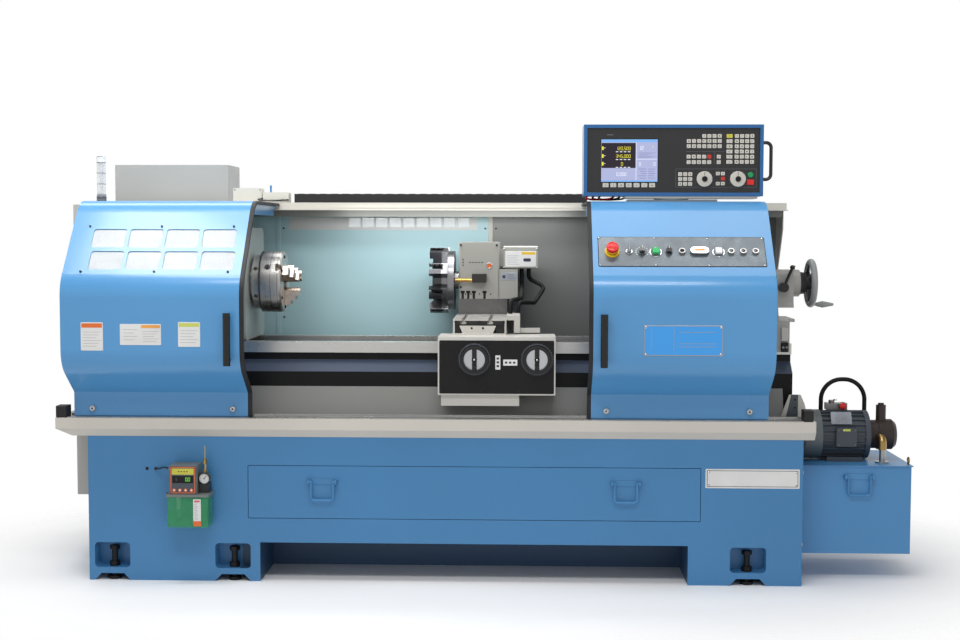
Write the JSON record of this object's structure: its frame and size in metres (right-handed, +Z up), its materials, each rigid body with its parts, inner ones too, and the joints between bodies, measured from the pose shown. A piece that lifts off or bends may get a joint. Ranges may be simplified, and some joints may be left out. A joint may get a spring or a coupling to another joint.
{
  "type": "cnc turning lathe",
  "caption": "Flat-bed turning lathe with two sliding guards, chuck, indexing turret, tailstock, swivelling control head, chip drawer and coolant tank.",
  "frame": {"origin": "middle of the machine's footprint box, on the floor", "axes": "+X along the bed from headstock to tailstock, +Y to the rear, +Z up"},
  "size_m": [3.444, 1.3612, 1.814],
  "materials": {
    "aluminium": "brushed",
    "base_blue": "satin machine enamel",
    "black_casting": "satin enamel with ground ways",
    "black_plastic": "matte",
    "bright_steel": "ground",
    "cast": "machined",
    "clear": "clear sheet",
    "green_clear": "clear green jar",
    "green_plastic": "gloss, lit",
    "grey_plastic": "matte",
    "guard_blue": "gloss enamel",
    "ivory": "satin enamel",
    "light_grey": "fine powder coat",
    "motor_grey": "satin enamel",
    "pump_brown": "painted casting",
    "rear_teal": "satin enamel",
    "red_plastic": "gloss",
    "rubber": "matte",
    "white_plastic": "gloss"
  },
  "bodies": {
    "frame": {"base_cabinet": "base_blue", "levelling_screws": "black_plastic", "chip_tray": "ivory", "door_rail": "bright_steel", "bed": "black_casting", "headstock": "ivory", "main_motor": "motor_grey", "drive_belt": "rubber", "end_cover": "ivory", "rear_guard": "rear_teal", "rear_windows": "clear", "upper_beam": "ivory", "cable_ducts": "black_plastic", "cabinet_body": "light_grey", "tower_lamp": "clear", "coolant_tank": "base_blue", "pump_motor": "motor_grey", "hydraulic_pump": "pump_brown", "pump_hose": "rubber", "lube_pump": "grey_plastic", "lube_reservoir": "green_clear"},
    "left_guard": {"left_door": "guard_blue", "left_door_windows": "clear", "left_door_trim": "rubber", "left_door_rollers": "bright_steel"},
    "right_guard": {"right_door": "guard_blue", "right_door_trim": "rubber", "right_door_rollers": "bright_steel", "control_panel": "bright_steel", "hmi_turntable": "ivory"},
    "control_head": {"hmi_case": "guard_blue"},
    "emergency_button": {"emergency_button": "red_plastic"},
    "green_button": {"green_button": "green_plastic"},
    "white_button": {"white_button": "white_plastic"},
    "rate_knob": {"rate_knob": "black_plastic"},
    "selector_knob": {"selector_knob": "black_plastic"},
    "override_knob_left": {"override_knob_left": "grey_plastic"},
    "override_knob_right": {"override_knob_right": "grey_plastic"},
    "spindle": {"spindle": "bright_steel", "chuck": "bright_steel"},
    "motor_shaft": {"motor_pulley": "cast"},
    "jaw_1": {"jaw_1": "bright_steel"},
    "jaw_2": {"jaw_2": "bright_steel"},
    "jaw_3": {"jaw_3": "bright_steel"},
    "carriage": {"carriage": "ivory"},
    "longitudinal_wheel": {"longitudinal_handwheel": "black_plastic"},
    "cross_wheel": {"cross_handwheel": "black_plastic"},
    "cross_slide": {"cross_slide": "ivory", "turret_housing": "ivory", "turret_hoses": "rubber"},
    "turret": {"turret_disc": "cast"},
    "tailstock": {"tailstock": "ivory"},
    "quill": {"quill": "bright_steel"},
    "tail_wheel": {"tail_handwheel": "aluminium"},
    "lock_lever": {"lock_lever": "black_plastic"},
    "drawer": {"chip_drawer": "base_blue"},
    "drawer_bail_left": {"drawer_bail_left": "base_blue"},
    "drawer_bail_right": {"drawer_bail_right": "base_blue"},
    "cabinet_door": {"cabinet_door": "light_grey"},
    "tank_bail": {"tank_bail": "base_blue"}
  },
  "joints": [
    {"name": "left_guard_slide", "type": "slide", "parent": "frame", "child": "left_guard", "axis": [1, 0, 0], "range_m": [0, 0.65]},
    {"name": "right_guard_slide", "type": "slide", "parent": "frame", "child": "right_guard", "axis": [-1, 0, 0], "range_m": [0, 0.65]},
    {"name": "control_head_swivel", "type": "hinge", "parent": "right_guard", "child": "control_head", "pos_m": [0.769, -0.21865, 1.529], "axis": [0, 0, 1], "range_deg": [-25, 25]},
    {"name": "emergency_press", "type": "slide", "parent": "right_guard", "child": "emergency_button", "axis": [0, 0.7741, -0.633], "range_m": [0, 0.006], "stiffness_N_per_m": 600},
    {"name": "green_press", "type": "slide", "parent": "right_guard", "child": "green_button", "axis": [0, 0.7741, -0.633], "range_m": [0, 0.0035], "stiffness_N_per_m": 400},
    {"name": "white_press", "type": "slide", "parent": "right_guard", "child": "white_button", "axis": [0, 0.7741, -0.633], "range_m": [0, 0.0035], "stiffness_N_per_m": 400},
    {"name": "rate_turn", "type": "hinge", "parent": "right_guard", "child": "rate_knob", "pos_m": [0.628, -0.53248, 1.31017], "axis": [0, -0.7741, 0.633], "range_deg": [-135, 135]},
    {"name": "selector_turn", "type": "hinge", "parent": "right_guard", "child": "selector_knob", "pos_m": [0.731, -0.53248, 1.31017], "axis": [0, -0.7741, 0.633], "range_deg": [-45, 45]},
    {"name": "override_left_turn", "type": "hinge", "parent": "control_head", "child": "override_knob_left", "pos_m": [0.893, -0.29865, 1.597], "axis": [0, -1, 0], "continuous": true},
    {"name": "override_right_turn", "type": "hinge", "parent": "control_head", "child": "override_knob_right", "pos_m": [1.026, -0.29865, 1.597], "axis": [0, -1, 0], "continuous": true},
    {"name": "spindle_spin", "type": "hinge", "parent": "frame", "child": "spindle", "pos_m": [-1.55, -0.09865, 1.175], "axis": [1, 0, 0], "continuous": true},
    {"name": "motor_spin", "type": "hinge", "parent": "frame", "child": "motor_shaft", "pos_m": [-1.55, 0.06135, 0.4], "axis": [1, 0, 0], "continuous": true},
    {"name": "jaw_1_slide", "type": "slide", "parent": "spindle", "child": "jaw_1", "axis": [0, 0, -1], "range_m": [-0.006, 0.02]},
    {"name": "jaw_2_slide", "type": "slide", "parent": "spindle", "child": "jaw_2", "axis": [0, 0.866, 0.5], "range_m": [-0.006, 0.02]},
    {"name": "jaw_3_slide", "type": "slide", "parent": "spindle", "child": "jaw_3", "axis": [0, -0.866, 0.5], "range_m": [-0.006, 0.02]},
    {"name": "carriage_travel", "type": "slide", "parent": "frame", "child": "carriage", "axis": [1, 0, 0], "range_m": [-0.45, 0.4]},
    {"name": "cross_travel", "type": "slide", "parent": "carriage", "child": "cross_slide", "axis": [0, 1, 0], "range_m": [-0.2, 0.03]},
    {"name": "turret_index", "type": "hinge", "parent": "cross_slide", "child": "turret", "pos_m": [-0.154, 0.15135, 1.1745], "axis": [1, 0, 0], "continuous": true},
    {"name": "longitudinal_wheel_turn", "type": "hinge", "parent": "carriage", "child": "longitudinal_wheel", "pos_m": [-0.021, -0.44365, 0.882], "axis": [0, -1, 0], "continuous": true},
    {"name": "cross_wheel_turn", "type": "hinge", "parent": "carriage", "child": "cross_wheel", "pos_m": [0.226, -0.44365, 0.882], "axis": [0, -1, 0], "continuous": true},
    {"name": "tailstock_travel", "type": "slide", "parent": "frame", "child": "tailstock", "axis": [1, 0, 0], "range_m": [-0.45, 0]},
    {"name": "quill_travel", "type": "slide", "parent": "tailstock", "child": "quill", "axis": [-1, 0, 0], "range_m": [0, 0.1]},
    {"name": "tail_wheel_turn", "type": "hinge", "parent": "tailstock", "child": "tail_wheel", "pos_m": [1.326, -0.09865, 1.175], "axis": [1, 0, 0], "range_deg": [0, 7200]},
    {"name": "quill_lock_turn", "type": "hinge", "parent": "tailstock", "child": "lock_lever", "pos_m": [1.234, -0.17365, 1.16], "axis": [0, -1, 0], "range_deg": [-40, 25]},
    {"name": "drawer_travel", "type": "slide", "parent": "frame", "child": "drawer", "axis": [0, -1, 0], "range_m": [0, 0.55]},
    {"name": "drawer_bail_left_swing", "type": "hinge", "parent": "drawer", "child": "drawer_bail_left", "pos_m": [-0.618, -0.51265, 0.402], "axis": [-1, 0, 0], "range_deg": [0, 90]},
    {"name": "drawer_bail_right_swing", "type": "hinge", "parent": "drawer", "child": "drawer_bail_right", "pos_m": [0.575, -0.51265, 0.402], "axis": [-1, 0, 0], "range_deg": [0, 90]},
    {"name": "tank_bail_swing", "type": "hinge", "parent": "frame", "child": "tank_bail", "pos_m": [1.509, -0.38965, 0.415], "axis": [-1, 0, 0], "range_deg": [0, 90]},
    {"name": "cabinet_door_swing", "type": "hinge", "parent": "frame", "child": "cabinet_door", "pos_m": [-1.164, 0.65835, 0.56], "axis": [0, 0, -1], "range_deg": [0, 110]}
  ],
  "couplings": [
    {"joint": "motor_spin", "follows": "spindle_spin", "ratio": 1.3461},
    {"joint": "jaw_2_slide", "follows": "jaw_1_slide", "ratio": 1},
    {"joint": "jaw_3_slide", "follows": "jaw_1_slide", "ratio": 1},
    {"joint": "tail_wheel_turn", "follows": "quill_travel", "rad_per_m": 1256.6}
  ]
}
